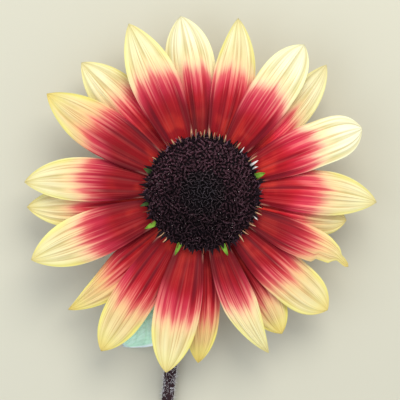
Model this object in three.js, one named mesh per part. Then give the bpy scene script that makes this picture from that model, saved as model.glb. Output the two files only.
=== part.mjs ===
// A cut sunflower lying on its back. The bloom looks straight up, its stem bends over behind the head and
// lies along the ground, and the pointed outer bracts prop the head. Millimetres, +Z up, ground at z = 0.
// The bloom's axis is vertical while the pieces are made. Turns are degrees from +X, seen from above.

import * as THREE from "three";

// Driving dimensions of the head
const discRadius = 20;
const discRimHeight = 2;
const discDomeHeight = 4.6;
const discDomeFlatness = 2.4;
const discUndersideInset = 1;
const spirals = { count: 34, twist: 0.9, ridgeHeight: 0.25, notchDepth: 0.4, smoothShare: 0.2 };
const receptacleRadius = 17;
const receptacleTop = 22;
const receptacleBottom = 12.6;
// The receptacle's rounded back, as distances from the axis and heights above its lowest face
const receptacleBack = [
  [0, 0],
  [5, 0],
  [11, 0.6],
  [15, 2.2],
  [receptacleRadius, 4.6],
];
const seatGap = 0.3;

// Driving dimensions of the petals
const petalThickness = { root: 0.75, blade: 0.5, thinsBy: 0.25 };
const petalSteps = { along: 10, across: 4 };
const petalClawShare = 0.45;
const petalWidestAt = 0.54;
const petalTipHalfWidth = 0.35;
const petalCup = 1.3;
const petalBend = 1.6;
const petalSway = { rise: 0.25, droop: 0.8, roll: 3 };

// Driving dimensions of the stem, the leaf and the bracts
const neckRadius = { top: 4.2, foot: 2.4 };
const stemCutRadius = 2;
const stemHeading = 257;
const stemControlReach = 52;
const stemCutY = -112;
const leafThickness = { root: 1.6, blade: 0.6, thinsBy: 0.2 };
const leafSteps = { along: 12, across: 4 };
const outerBracts = { count: 9, width: 8, keel: 0.8 };
const innerBracts = { count: 12, width: 8.4, keel: 0.5 };
const bractThickness = 0.7;
const bractTipHalfWidth = 0.3;
const bractRootShare = 0.62;
const bractWidestAt = 0.3;
const bractSteps = { along: 7, across: 2 };
// How much thinner every blade is at its edges than along its middle, as a share
const edgeThinning = 0.2;

// Where each row of petals is rooted on the receptacle's wall, and how far its blades rise.
const petalRows = {
  high: { rootHeight: 20.7, rise: 4.2 },
  low: { rootHeight: 19.6, rise: 3.0 },
  back: { rootHeight: 18.1, rise: 1.4 },
};
const petalDroop = 3;

// Each petal's turn at its root and at its tip, its reach from the axis, its width, how blunt its tip is,
// and its row. A tail is the share of its length that a rolled tip takes.
const petals = [
  { root: 2, tip: -3, reach: 59.8, width: 15.3, blunt: 2.2, row: "low" },
  { root: 24, tip: 22, reach: 58.6, width: 15.3, blunt: 5, row: "high" },
  { root: 37, tip: 45, reach: 60.5, width: 13.6, blunt: 2, row: "back" },
  { root: 54, tip: 56.5, reach: 61, width: 16, blunt: 3, row: "high" },
  { root: 72.5, tip: 78.5, reach: 61, width: 14.4, blunt: 1.8, row: "low" },
  { root: 94, tip: 97, reach: 61.6, width: 16.6, blunt: 2.1, row: "back" },
  { root: 113, tip: 113.5, reach: 62.8, width: 16.5, blunt: 1.7, row: "high" },
  { root: 131, tip: 132.8, reach: 61.4, width: 16.8, blunt: 2.2, row: "back" },
  { root: 148.5, tip: 147.5, reach: 63, width: 16.3, blunt: 1.8, row: "high" },
  { root: 171.5, tip: 176.5, reach: 61, width: 15, blunt: 2, row: "low" },
  { root: 187, tip: 184.5, reach: 60.8, width: 13.6, blunt: 2, row: "back" },
  { root: 200.5, tip: 201.3, reach: 62.6, width: 17.6, blunt: 2, row: "high" },
  { root: 225, tip: 221, reach: 61.2, width: 14, blunt: 1.8, row: "back" },
  { root: 237, tip: 236.5, reach: 64, width: 15.3, blunt: 2.8, row: "low" },
  { root: 257.5, tip: 258.5, reach: 62.3, width: 15.6, blunt: 2.2, row: "high" },
  { root: 272, tip: 268.5, reach: 58.6, width: 13.6, blunt: 2.5, row: "back" },
  { root: 286, tip: 292.5, reach: 59, width: 12.4, blunt: 1.4, row: "high" },
  { root: 300, tip: 299.5, reach: 55.6, width: 14.6, blunt: 3, row: "back" },
  { root: 314, tip: 317, reach: 58.8, width: 15.6, blunt: 4, row: "low" },
  { root: 333, tip: 334, reach: 55.4, width: 11.6, blunt: 3, row: "high", tail: 0.07 },
  { root: 347, tip: 349, reach: 51, width: 13, blunt: 4, row: "back" },
];
const tailHalfWidth = 1;

const materials = {
  petal: new THREE.MeshStandardMaterial({ color: 0xb8322f, roughness: 0.6 }),
  disc: new THREE.MeshStandardMaterial({ color: 0x2a1a20, roughness: 0.9 }),
  green: new THREE.MeshStandardMaterial({ color: 0x5f8a3c, roughness: 0.7 }),
  stem: new THREE.MeshStandardMaterial({ color: 0x3b2a30, roughness: 0.8 }),
  leaf: new THREE.MeshStandardMaterial({ color: 0x7fae86, roughness: 0.6 }),
};

const radians = THREE.MathUtils.degToRad;
const mix = THREE.MathUtils.lerp;

// A point at a turn, a distance from the axis and a height.
function polar(turn, distance, height) {
  return new THREE.Vector3(distance * Math.cos(turn), distance * Math.sin(turn), height);
}

// A small regular unevenness, from -1 to 1, that differs from one petal to the next.
function sway(index, phase) {
  return Math.sin(index * 2.4 + phase);
}

// A closed solid through rings of points. Each end is closed by a strip across its ring.
function loft(rings) {
  const count = rings[0].length;
  const faces = [];
  for (let ring = 0; ring < rings.length - 1; ring++) {
    for (let i = 0; i < count; i++) {
      const a = ring * count + i;
      const b = ring * count + ((i + 1) % count);
      faces.push(a, b, b + count, a, b + count, a + count);
    }
  }
  const last = (rings.length - 1) * count;
  for (let i = 0; i < count / 2 - 1; i++) {
    const [a, b, c, d] = [i, i + 1, count - 2 - i, count - 1 - i];
    faces.push(a, c, b, a, d, c);
    faces.push(last + a, last + b, last + c, last + a, last + c, last + d);
  }
  const positions = rings.flat().flatMap((point) => point.toArray());
  const geometry = new THREE.BufferGeometry();
  geometry.setAttribute("position", new THREE.Float32BufferAttribute(positions, 3));
  geometry.setIndex(faces);
  return geometry;
}

// A thin closed blade. surface(t, v) is its middle surface, t from root to tip and v from edge to edge,
// and thickness(t, v) is laid half on each side of it.
const step = 1e-3;

function blade(surface, thickness, steps) {
  const rings = [];
  for (let i = 0; i <= steps.along; i++) {
    const t = i / steps.along;
    const upper = [];
    const lower = [];
    for (let j = 0; j <= steps.across; j++) {
      const v = -1 + (2 * j) / steps.across;
      const along = surface(t + step, v).sub(surface(t - step, v));
      const across = surface(t, v + step).sub(surface(t, v - step));
      const normal = along.cross(across).normalize();
      const half = 0.5 * thickness(t, v);
      upper.unshift(surface(t, v).addScaledVector(normal, half));
      lower.push(surface(t, v).addScaledVector(normal, -half));
    }
    rings.push([...upper, ...lower]);
  }
  return loft(rings);
}

// Half a petal's width at t: a narrow claw swells to the widest place, and the tip closes in its own curve.
function petalHalfWidth(petal, t) {
  const tail = petal.tail ?? 0;
  const place = Math.min(Math.max(t / (1 - tail), 0), 1);
  const swelling = mix(petalClawShare, 1, Math.sin((0.5 * Math.PI * place) / petalWidestAt));
  const closing = 1 - ((place - petalWidestAt) / (1 - petalWidestAt)) ** petal.blunt;
  const share = place < petalWidestAt ? swelling : closing;
  const least = tail > 0 ? tailHalfWidth : petalTipHalfWidth;
  return Math.max(0.5 * petal.width * share, least);
}

// A petal's middle surface. Its midline swings from its root's turn to its tip's, rises from the
// receptacle's wall and droops towards the tip, and both edges bend down from it.
function petalSurface(petal, index) {
  const row = petalRows[petal.row];
  const rise = row.rise + petalSway.rise * sway(index, 0);
  const droop = petalDroop + petalSway.droop * sway(index, 2);
  const roll = radians(petalSway.roll) * sway(index, 4);
  const rootDistance = receptacleRadius + seatGap;
  const midline = (t) => {
    const turn = radians(mix(petal.root, petal.tip, Math.max(t, 0) ** petalBend));
    const height = row.rootHeight + rise * (1 - (1 - t) ** 2) - droop * t ** 3;
    return polar(turn, mix(rootDistance, petal.reach, t), height);
  };
  return (t, v) => {
    const middle = midline(t);
    const heading = midline(t + step).sub(midline(t - step));
    const sideways = new THREE.Vector3(-heading.y, heading.x, 0).normalize();
    const half = petalHalfWidth(petal, t);
    const fullness = (2 * half) / petal.width;
    middle.addScaledVector(sideways, v * half);
    middle.z += v * half * Math.sin(roll) * t - petalCup * fullness ** 2 * v ** 2;
    return middle;
  };
}

// A blade's thickness: stout at the root, thinned out by a share of its length, and thinner at its edges.
function bladeThickness(shape) {
  return (t, v) => mix(shape.root, shape.blade, Math.min(t / shape.thinsBy, 1)) * (1 - edgeThinning * v ** 2);
}

function petalGeometry(petal, index) {
  return blade(petalSurface(petal, index), bladeThickness(petalThickness), petalSteps);
}

// The florets' face: a low dome whose seed spirals stand up as ridges and notch its rim.
function discGeometry() {
  const underside = receptacleTop + seatGap;
  const ringCount = 11;
  const profile = [
    new THREE.Vector2(0, underside),
    new THREE.Vector2(discRadius - discUndersideInset, underside),
  ];
  for (let ring = 0; ring <= ringCount; ring++) {
    const share = 1 - ring / ringCount;
    const dome = discRimHeight + discDomeHeight * (1 - share ** discDomeFlatness);
    profile.push(new THREE.Vector2(discRadius * share, underside + dome));
  }
  const geometry = new THREE.LatheGeometry(profile, 2 * spirals.count);
  const place = geometry.attributes.position;
  for (let i = 0; i < place.count; i++) {
    // LatheGeometry turns its profile about Y, so height is Y here until the solid is stood up.
    const distance = Math.hypot(place.getX(i), place.getZ(i));
    const turn = Math.atan2(place.getZ(i), place.getX(i));
    const share = distance / discRadius;
    if (share > spirals.smoothShare) {
      const wave = Math.cos(spirals.count * (turn + spirals.twist * share));
      const ridge = place.getY(i) > underside ? spirals.ridgeHeight * wave * share : 0;
      place.setY(i, place.getY(i) + ridge);
      const outward = 1 + (spirals.notchDepth / discRadius) * wave * share ** 6;
      place.setX(i, place.getX(i) * outward);
      place.setZ(i, place.getZ(i) * outward);
    }
  }
  return geometry.rotateX(0.5 * Math.PI);
}

// The green cushion behind the florets: flat on top, with an upright wall where the petals are rooted.
function receptacleGeometry() {
  const profile = [
    ...receptacleBack.map(([distance, height]) => new THREE.Vector2(distance, receptacleBottom + height)),
    new THREE.Vector2(receptacleRadius, receptacleTop),
    new THREE.Vector2(0, receptacleTop),
  ];
  return new THREE.LatheGeometry(profile, 48).rotateX(0.5 * Math.PI);
}

// A ring of points square to a limb's path, with one flat side undermost where the limb lies on the ground.
const limbSides = 12;

function limbRing(centre, heading, tangent, radius) {
  const sideways = new THREE.Vector3(-Math.sin(heading), Math.cos(heading), 0);
  const upward = new THREE.Vector3().crossVectors(tangent, sideways).normalize();
  const ring = [];
  for (let i = 0; i < limbSides; i++) {
    const angle = (2 * Math.PI * (i + 0.5)) / limbSides;
    ring.push(
      centre
        .clone()
        .addScaledVector(sideways, radius * Math.cos(angle))
        .addScaledVector(upward, radius * Math.sin(angle)),
    );
  }
  return ring;
}

// A many-sided limb of this radius lies on its flat side when its centre is this high.
const lyingHeight = (radius) => radius * Math.cos(Math.PI / limbSides);

// The neck: a quarter turn from the receptacle's back, down and over to the ground, narrowing as it goes.
const neckStart = receptacleBottom - seatGap;
const neckBendRadius = neckStart - lyingHeight(neckRadius.foot);

function neckGeometry() {
  const steps = 9;
  const heading = radians(stemHeading);
  const rings = [];
  for (let i = 0; i <= steps; i++) {
    const bend = (0.5 * Math.PI * i) / steps;
    const forward = neckBendRadius * (1 - Math.cos(bend));
    const centre = polar(heading, forward, neckStart - neckBendRadius * Math.sin(bend));
    const tangent = polar(heading, Math.sin(bend), -Math.cos(bend));
    const radius = mix(neckRadius.top, neckRadius.foot, Math.sin(bend) ** 0.7);
    rings.push(limbRing(centre, heading, tangent, radius));
  }
  return loft(rings);
}

// The stem's line along the ground: it leaves the neck at its heading and ends pointing along -Y.
function stemCurve() {
  const heading = radians(stemHeading);
  const start = polar(heading, neckBendRadius + seatGap, 0);
  const control = start.clone().add(polar(heading, stemControlReach, 0));
  const end = new THREE.Vector3(control.x, stemCutY, 0);
  return new THREE.QuadraticBezierCurve3(start, control, end);
}

const stemRadiusAt = (share) => mix(neckRadius.foot, stemCutRadius, share);

function stemGeometry() {
  const steps = 14;
  const curve = stemCurve();
  const rings = [];
  for (let i = 0; i <= steps; i++) {
    const t = i / steps;
    const tangent = curve.getTangent(t);
    const radius = stemRadiusAt(t);
    const centre = curve.getPoint(t).setZ(lyingHeight(radius));
    rings.push(limbRing(centre, Math.atan2(tangent.y, tangent.x), tangent, radius));
  }
  return loft(rings);
}

// The leaf under the head: a short stalk from the stem's side, and a pointed blade whose tip sinks
// to the ground.
const leafPlace = { stemShare: 0.17, tip: new THREE.Vector2(-28.3, -54.8), rootHeight: 3.4, tipHeight: 0.4 };
const leafShape = { stalk: 0.12, stalkHalfWidth: 0.9, halfWidth: 10.5, widestAt: 0.45 };
const leafArch = 4.2;
const leafFold = 1.6;

function leafHalfWidth(t) {
  const place = Math.min(Math.max((t - leafShape.stalk) / (1 - leafShape.stalk), 0), 1);
  const widest = leafShape.widestAt;
  const swelling = Math.sin((0.5 * Math.PI * place) / widest) ** 0.8;
  const closing = 1 - ((place - widest) / (1 - widest)) ** 2;
  const spread = leafShape.halfWidth * (place < widest ? swelling : closing);
  return Math.max(spread, leafShape.stalkHalfWidth * (1 - 0.6 * t));
}

function leafGeometry() {
  const stemPoint = stemCurve().getPoint(leafPlace.stemShare);
  const stemTangent = stemCurve().getTangent(leafPlace.stemShare);
  const towardsTip = new THREE.Vector3(leafPlace.tip.x, leafPlace.tip.y, 0).sub(stemPoint);
  const length = towardsTip.length();
  const direction = towardsTip.clone().normalize();
  const sideways = new THREE.Vector3(-direction.y, direction.x, 0);
  // The stalk leaves the stem at a slant, so its nearer corner is what keeps the gap.
  const slant = stemTangent.angleTo(direction);
  const clearance = stemRadiusAt(leafPlace.stemShare) + seatGap;
  const rootDistance = (clearance + leafShape.stalkHalfWidth * Math.cos(slant)) / Math.sin(slant);
  const surface = (t, v) => {
    const half = leafHalfWidth(t);
    const distance = mix(rootDistance, length, t);
    const arch = leafArch * Math.sin(Math.PI * Math.min(Math.max(t, 0), 1)) ** 1.2;
    const height = mix(leafPlace.rootHeight, leafPlace.tipHeight, t) + arch;
    const fold = leafFold * Math.abs(v) * (half / leafShape.halfWidth);
    return stemPoint
      .clone()
      .addScaledVector(direction, distance)
      .addScaledVector(sideways, v * half)
      .setZ(height + fold);
  };
  return blade(surface, bladeThickness(leafThickness), leafSteps);
}

// Half a bract's width at t: broad at the root, then drawn out to a long point.
function bractHalfWidth(width, t) {
  const place = Math.min(Math.max(t, 0), 1);
  const swelling = mix(bractRootShare, 1, Math.sin((0.5 * Math.PI * place) / bractWidestAt));
  const onward = (place - bractWidestAt) / (1 - bractWidestAt);
  const drawnOut = (0.5 + 0.5 * Math.cos(Math.PI * onward)) ** 0.85;
  return Math.max(0.5 * width * (place < bractWidestAt ? swelling : drawnOut), bractTipHalfWidth);
}

// A bract at a turn. Its midline is a curve of distance from the axis (x) against height (y), and both its
// edges are lifted off that line by up to the keel's height.
function bractGeometry(turn, midline, shape) {
  const surface = (t, v) => {
    const share = Math.min(Math.max(t, 0), 1);
    const place = midline.getPoint(share);
    const onward = midline.getTangent(share);
    place.addScaledVector(onward, (t - share) * midline.getLength());
    const half = bractHalfWidth(shape.width, t);
    const lift = shape.keel * v ** 2 * (half / (0.5 * shape.width));
    const point = polar(turn, place.x - lift * onward.y, place.y + lift * onward.x);
    return point.add(polar(turn + 0.5 * Math.PI, v * half, 0));
  };
  const thickness = (t, v) => bractThickness * (1 - edgeThinning * v ** 2);
  return blade(surface, thickness, bractSteps);
}

// The outer bracts arch out and down to the ground.
const outerBractLine = new THREE.QuadraticBezierCurve(
  new THREE.Vector2(15.4, 14.2),
  new THREE.Vector2(25.5, 12),
  new THREE.Vector2(29, 0.4),
);
// The inner bracts lie under the back row of petals.
const innerBractLine = new THREE.QuadraticBezierCurve(
  new THREE.Vector2(16.9, 15.9),
  new THREE.Vector2(27, 17),
  new THREE.Vector2(38, 13),
);

// The stem passes midway between two outer bracts, and each of them stands on the ground.
function outerBractGeometry(index) {
  const turn = radians(stemHeading + (360 / outerBracts.count) * (index + 0.5));
  const geometry = bractGeometry(turn, outerBractLine, outerBracts);
  geometry.computeBoundingBox();
  return geometry.translate(0, 0, -geometry.boundingBox.min.z);
}

function innerBractGeometry(index) {
  const turn = radians((360 / innerBracts.count) * (index + 0.5));
  return bractGeometry(turn, innerBractLine, innerBracts);
}

function named(name, geometry, material) {
  const mesh = new THREE.Mesh(geometry, material);
  mesh.name = name;
  return mesh;
}

const sunflower = new THREE.Group();
sunflower.name = "cut_sunflower";
sunflower.add(named("disc", discGeometry(), materials.disc));
sunflower.add(named("receptacle", receptacleGeometry(), materials.green));
sunflower.add(named("neck", neckGeometry(), materials.stem));
sunflower.add(named("stem", stemGeometry(), materials.stem));
sunflower.add(named("leaf", leafGeometry(), materials.leaf));
petals.forEach((petal, index) => {
  sunflower.add(named(`petal_${index + 1}`, petalGeometry(petal, index), materials.petal));
});
for (let index = 0; index < outerBracts.count; index++) {
  sunflower.add(named(`outer_bract_${index + 1}`, outerBractGeometry(index), materials.green));
}
for (let index = 0; index < innerBracts.count; index++) {
  sunflower.add(named(`inner_bract_${index + 1}`, innerBractGeometry(index), materials.green));
}

// The part's origin is the middle of the ground that the whole flower covers.
const extent = new THREE.Box3().setFromObject(sunflower);
const middle = extent.getCenter(new THREE.Vector3());
sunflower.position.set(-middle.x, -middle.y, -extent.min.z);

export default sunflower;
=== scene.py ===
import math

import bpy
import numpy as np
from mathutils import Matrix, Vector


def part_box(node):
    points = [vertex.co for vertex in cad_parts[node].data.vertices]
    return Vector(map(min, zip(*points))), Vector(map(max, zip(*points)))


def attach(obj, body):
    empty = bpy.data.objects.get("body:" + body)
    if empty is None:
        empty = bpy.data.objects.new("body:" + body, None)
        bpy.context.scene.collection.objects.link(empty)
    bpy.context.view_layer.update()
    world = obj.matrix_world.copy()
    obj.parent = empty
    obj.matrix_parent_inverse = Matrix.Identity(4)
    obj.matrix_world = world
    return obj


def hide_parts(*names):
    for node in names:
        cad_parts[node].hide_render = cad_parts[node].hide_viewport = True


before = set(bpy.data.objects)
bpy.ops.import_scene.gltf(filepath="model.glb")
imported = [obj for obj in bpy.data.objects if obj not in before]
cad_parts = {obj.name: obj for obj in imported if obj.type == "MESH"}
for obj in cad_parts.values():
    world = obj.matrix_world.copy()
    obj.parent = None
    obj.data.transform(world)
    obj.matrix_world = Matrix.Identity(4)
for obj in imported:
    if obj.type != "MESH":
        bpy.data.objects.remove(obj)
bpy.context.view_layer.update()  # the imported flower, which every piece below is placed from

# Sizes are in millimetres, measured from the bloom's upright axis, with the ground at 0.
# Turns are degrees from +X, seen from above. Everything is laid into the frame in metres.
mm = 0.001
low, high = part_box("receptacle")
bloomAxis = np.array([0.5 * (low.x + high.x), 0.5 * (low.y + high.y), 0.0])
print("frame loaded, the bloom's axis is at", bloomAxis.round(5))


# small helpers

def mix(a, b, share):
    return a + (b - a) * share


def paint(red, green, blue):  # a colour as a screen shows it, from 0 to 255, made linear
    shares = (value / 255 for value in (red, green, blue))
    return (*(v / 12.92 if v <= 0.04045 else ((v + 0.055) / 1.055) ** 2.4 for v in shares), 1.0)


def smooth(start, end, value):  # 0 below start, 1 above end, and an even S between
    share = np.clip((value - start) / (end - start), 0, 1)
    return share * share * (3 - 2 * share)


def unit(vectors):
    return vectors / np.linalg.norm(vectors, axis=-1, keepdims=True)


def towards(turn):  # a level direction, from a turn in radians
    return np.array([math.cos(turn), math.sin(turn), 0])


def leftOf(direction):
    return np.stack([-direction[..., 1], direction[..., 0], 0 * direction[..., 0]], axis=-1)


def sway(index, phase):  # the same small wandering from piece to piece each time
    return math.sin(index * 2.4 + phase)


def polar(turn, distance, height):
    return np.stack([distance * np.cos(turn), distance * np.sin(turn), height + 0 * distance], axis=-1)


def bezier(points, share):  # a quadratic curve and its direction
    a, b, c = (np.asarray(p, float) for p in points)
    share = np.asarray(share, float)[..., None]
    place = (1 - share) ** 2 * a + 2 * share * (1 - share) * b + share ** 2 * c
    return place, unit(2 * (1 - share) * (b - a) + 2 * share * (c - b))


def toFrame(points):
    return np.asarray(points, float).reshape(-1, 3) * mm + bloomAxis


# One mesh object from points in millimetres, with its finish and any numbers that its material reads.
def makePiece(name, points, faces, materials, faceMaterials=None, uvs=None, numbers=None):
    mesh = bpy.data.meshes.new(name)
    mesh.from_pydata(toFrame(points).tolist(), [], [list(face) for face in faces])
    for material in materials:
        mesh.materials.append(material)
    if faceMaterials is not None:
        mesh.polygons.foreach_set("material_index", np.asarray(faceMaterials, np.int32))
    for uvName, uv in (uvs or {}).items():  # one place for each corner of each face
        layer = mesh.uv_layers.new(name=uvName)
        layer.data.foreach_set("uv", np.asarray(uv, np.float32).ravel())
    for key, values in (numbers or {}).items():
        values = np.asarray(values, np.float32)
        kind, slot = ("FLOAT", "value") if values.ndim == 1 else ("FLOAT_VECTOR", "vector")
        mesh.attributes.new(key, kind, "POINT").data.foreach_set(slot, values.ravel())
    mesh.shade_smooth()
    mesh.validate()
    piece = bpy.data.objects.new(name, mesh)
    bpy.context.scene.collection.objects.link(piece)
    return piece


def settle(piece, slot, *nodes):  # the piece rides with the flower and stands for these CAD nodes
    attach(piece, "root")
    if nodes:
        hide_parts(*nodes)
    return piece


def evenSteps(look):  # a blade's places from root to tip and from side to side
    return np.linspace(0, 1, look["alongSteps"] + 1), np.linspace(-1, 1, look["acrossSteps"] + 1)


# A closed thin blade. surface(t, v) is its middle, t from root to tip and v from -1 to 1 across it.
# relief(t, v) lifts the upper skin and sinks the lower one with it, so that ribs show on both.
def makeBlade(surface, thickness, relief, ts, vs):
    t, v = np.meshgrid(ts, vs, indexing="ij")
    step = 1e-3
    along = surface(t + step, v) - surface(t - step, v)
    across = surface(t, v + step) - surface(t, v - step)
    normal = unit(np.cross(along, across))
    middle = surface(t, v) + normal * relief(t, v)[..., None]
    half = 0.5 * thickness(t, v)[..., None]
    points = np.stack([middle + normal * half, middle - normal * half]).reshape(-1, 3)
    count = t.size
    index = np.arange(count).reshape(t.shape)
    a, b, c, d = index[:-1, :-1], index[1:, :-1], index[1:, 1:], index[:-1, 1:]
    upper, lower = np.stack([a, b, c, d], axis=-1), np.stack([a, d, c, b], axis=-1) + count
    ring = np.concatenate([index[:, 0], index[-1, 1:], index[-2::-1, -1], index[0, -2:0:-1]])
    onward = np.roll(ring, -1)
    edge = np.stack([ring, ring + count, onward + count, onward], axis=-1)
    faces = np.concatenate([np.stack([upper, lower], axis=2).reshape(-1, 4), edge])

    t, v, under = np.tile(t.ravel(), 2), np.tile(v.ravel(), 2), np.repeat([0.0, 1.0], count)
    corners = faces.ravel()
    cornerT, cornerV = t[corners], v[corners]
    # on the bake's map the two skins lie side by side, and the edge is a narrow rim round the upper one
    sideEdge = np.sign(cornerV) * (np.abs(cornerV) > 0.999)
    endEdge = (cornerT > 0.999) * 1.0 - (cornerT < 0.001)
    outward = np.stack([0.016 * sideEdge, 0.02 * endEdge], axis=-1)
    onEdge = np.arange(len(corners)) >= len(corners) - edge.size
    bakeUv = np.stack([0.25 + 0.22 * cornerV, 0.03 + 0.94 * cornerT], axis=-1)
    bakeUv += under[corners, None] * np.where(onEdge[:, None], outward, [0.5, 0.0])
    bladeUv = np.stack([0.5 + 0.5 * cornerV, cornerT], axis=-1)
    return points, faces, {"bladeUv": bladeUv, "OFBake": bakeUv}, {"under": under}, t, v


# node trees

def node(tree, kind, inputs=None, **settings):
    made = tree.nodes.new(kind)
    for key, value in settings.items():
        setattr(made, key, value)
    for key, values in (inputs or {}).items():
        for value in values if isinstance(values, list) else [values]:
            if isinstance(value, bpy.types.NodeSocket):
                tree.links.new(value, made.inputs[key])
            else:
                made.inputs[key].default_value = value
    return made


def wire(tree, kind, inputs=None, **settings):  # what a new node gives first
    return node(tree, kind, inputs, **settings).outputs[0]


def maths(tree, operation, *values, clamp=False):
    return wire(tree, "ShaderNodeMath", dict(enumerate(values)), operation=operation, use_clamp=clamp)


# Rises evenly from start to end, or falls from 1 to 0 where start is the larger of the two.
def spread(tree, value, start, end, toLow=0.0, toHigh=1.0):
    if start > end:
        return maths(tree, "SUBTRACT", 1.0, spread(tree, value, end, start))
    inputs = {"Value": value, 1: start, 2: end, 3: toLow, 4: toHigh}
    return wire(tree, "ShaderNodeMapRange", inputs, interpolation_type="SMOOTHSTEP")


def vector(tree, x=0.0, y=0.0, z=0.0):
    return wire(tree, "ShaderNodeCombineXYZ", {0: x, 1: y, 2: z})


def splitVector(tree, place):
    return node(tree, "ShaderNodeSeparateXYZ", {0: place}).outputs


def noise(tree, place, scale=1.0, detail=1.0):
    return wire(tree, "ShaderNodeTexNoise", {"Vector": place, "Scale": scale, "Detail": detail})


def objectPlace(tree):
    return node(tree, "ShaderNodeTexCoord").outputs["Object"]


def blendColours(tree, factor, a, b):
    return node(tree, "ShaderNodeMix", {0: factor, 6: a, 7: b}, data_type="RGBA").outputs[2]


def lighten(tree, colour, value):
    return wire(tree, "ShaderNodeHueSaturation", {"Color": colour, "Value": value})


def colourRamp(tree, position, stops):
    made = node(tree, "ShaderNodeValToRGB", {0: position})
    elements = made.color_ramp.elements
    while len(elements) < len(stops):
        elements.new(0.5)
    for element, (place, colour) in zip(elements, stops):
        element.position = place
        element.color = colour
    return made.outputs[0]


def readNumber(tree, name):
    return node(tree, "ShaderNodeAttribute", attribute_name=name).outputs["Fac"]


def placeGroup(tree, group, inputs):
    return node(tree, "ShaderNodeGroup", inputs, node_tree=group).outputs


def socketKind(value):  # a word names the kind, and anything else shows its own
    if isinstance(value, str):
        return "NodeSocket" + value
    if isinstance(value, tuple):
        return "NodeSocketColor" if len(value) == 4 else "NodeSocketVector"
    return "NodeSocketInt" if isinstance(value, int) else "NodeSocketFloat"


def startTree(kind, name, inputs, outputs):
    tree = bpy.data.node_groups.new(name, kind)
    for key, value in inputs.items():
        socket = tree.interface.new_socket(key, in_out="INPUT", socket_type=socketKind(value))
        if not isinstance(value, str):
            socket.default_value = value
    for key, value in outputs.items():
        tree.interface.new_socket(key, in_out="OUTPUT", socket_type=socketKind(value))
    return tree, tree.nodes.new("NodeGroupInput").outputs, tree.nodes.new("NodeGroupOutput").inputs


# Fine lengthwise veins for petals, bracts and leaf: noise drawn out along the piece.
def makeVeinGroup():
    tree, given, result = startTree("ShaderNodeTree", "lengthwiseVeins", {
        "Across": 0.5, "Along": 0.5, "Seed": 0.0, "Count": 12.0, "Stretch": 1.5,
    }, {"Broad": "Float", "Fine": "Float"})
    side = maths(tree, "MULTIPLY", given["Across"], given["Count"])
    length = maths(tree, "MULTIPLY", given["Along"], given["Stretch"])
    for key, times in (("Broad", 0.8), ("Fine", 2.2)):
        across, along = maths(tree, "MULTIPLY", side, times), maths(tree, "MULTIPLY", length, times ** 0.5)
        place = vector(tree, across, along, maths(tree, "MULTIPLY_ADD", given["Seed"], 7.3, times))
        tree.links.new(spread(tree, noise(tree, place), 0.25, 0.75), result[key])
    return tree


# A soft unevenness of tone that living surfaces share.
def makeMottleGroup():
    tree, given, result = startTree("ShaderNodeTree", "mottle", {
        "Color": (0.5, 0.5, 0.5, 1), "Size": 4.0, "Strength": 0.15,
    }, {"Color": "Color", "Height": "Float"})
    scale = maths(tree, "DIVIDE", 1000.0, given["Size"])
    height = noise(tree, objectPlace(tree), scale, 4.0)
    centred = maths(tree, "SUBTRACT", height, 0.5)
    swing = maths(tree, "MULTIPLY", centred, maths(tree, "MULTIPLY", given["Strength"], 4.0))
    tree.links.new(lighten(tree, given["Color"], maths(tree, "ADD", 1.0, swing)), result["Color"])
    tree.links.new(height, result["Height"])
    return tree


veinGroup = makeVeinGroup()
mottleGroup = makeMottleGroup()


def startMaterial(name, colour, roughness):
    material = bpy.data.materials.new(name)
    material.use_nodes = True
    material.diffuse_color = colour
    tree = material.node_tree
    shader = tree.nodes["Principled BSDF"]
    shader.inputs["Base Color"].default_value = colour
    shader.inputs["Roughness"].default_value = roughness
    shader.inputs["Specular IOR Level"].default_value = 0.1  # more would turn the dark florets grey
    return material, tree, shader


def finishColour(tree, shader, colour, size, strength):  # with the mottling, whose height it gives
    mottled = placeGroup(tree, mottleGroup, {"Color": colour, "Size": size, "Strength": strength})
    tree.links.new(mottled["Color"], shader.inputs["Base Color"])
    return mottled["Height"]


def addBump(tree, shader, height, distance):
    bump = wire(tree, "ShaderNodeBump", {"Height": height, "Strength": 1.0, "Distance": distance * mm})
    tree.links.new(bump, shader.inputs["Normal"])


# A finish for small parts, from its colour, roughness, and the mottling's size and strength.
def makePlainSkin(name, look, shade=None, bump=0.05):
    colour, roughness, size, strength = look
    material, tree, shader = startMaterial(name, colour, roughness)
    if shade:
        colour = shade(tree, colour)
    addBump(tree, shader, finishColour(tree, shader, colour, size, strength), bump)
    return material


def readVeins(tree, count, stretch):  # a point's place across and along its blade, and the veins there
    place = wire(tree, "ShaderNodeUVMap", uv_map="bladeUv")
    across, along, _ = splitVector(tree, place)
    inputs = {"Across": across, "Along": along, "Seed": readNumber(tree, "seed")}
    return across, along, placeGroup(tree, veinGroup, {**inputs, "Count": count, "Stretch": stretch})


# Runs a Geometry Nodes tree on a copy of a mesh, or on nothing, and keeps the plain mesh that it gives.
def grow(name, tree, values, ground=None):
    piece = bpy.data.objects.new(name, ground.copy() if ground else bpy.data.meshes.new(name))
    bpy.context.scene.collection.objects.link(piece)
    modifier = piece.modifiers.new("growth", "NODES")
    modifier.node_group = tree
    for item in tree.interface.items_tree:
        if item.item_type == "SOCKET" and item.in_out == "INPUT" and item.name in values:
            modifier[item.identifier] = values[item.name]
    depsgraph = bpy.context.evaluated_depsgraph_get()
    grown = bpy.data.meshes.new_from_object(piece.evaluated_get(depsgraph), depsgraph=depsgraph)
    piece.modifiers.remove(modifier)
    piece.data = grown
    print(name, "grown with", len(grown.polygons), "faces")
    return piece


# the petals' finish: red at the root, through pink streaks, to pale yellow

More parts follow.
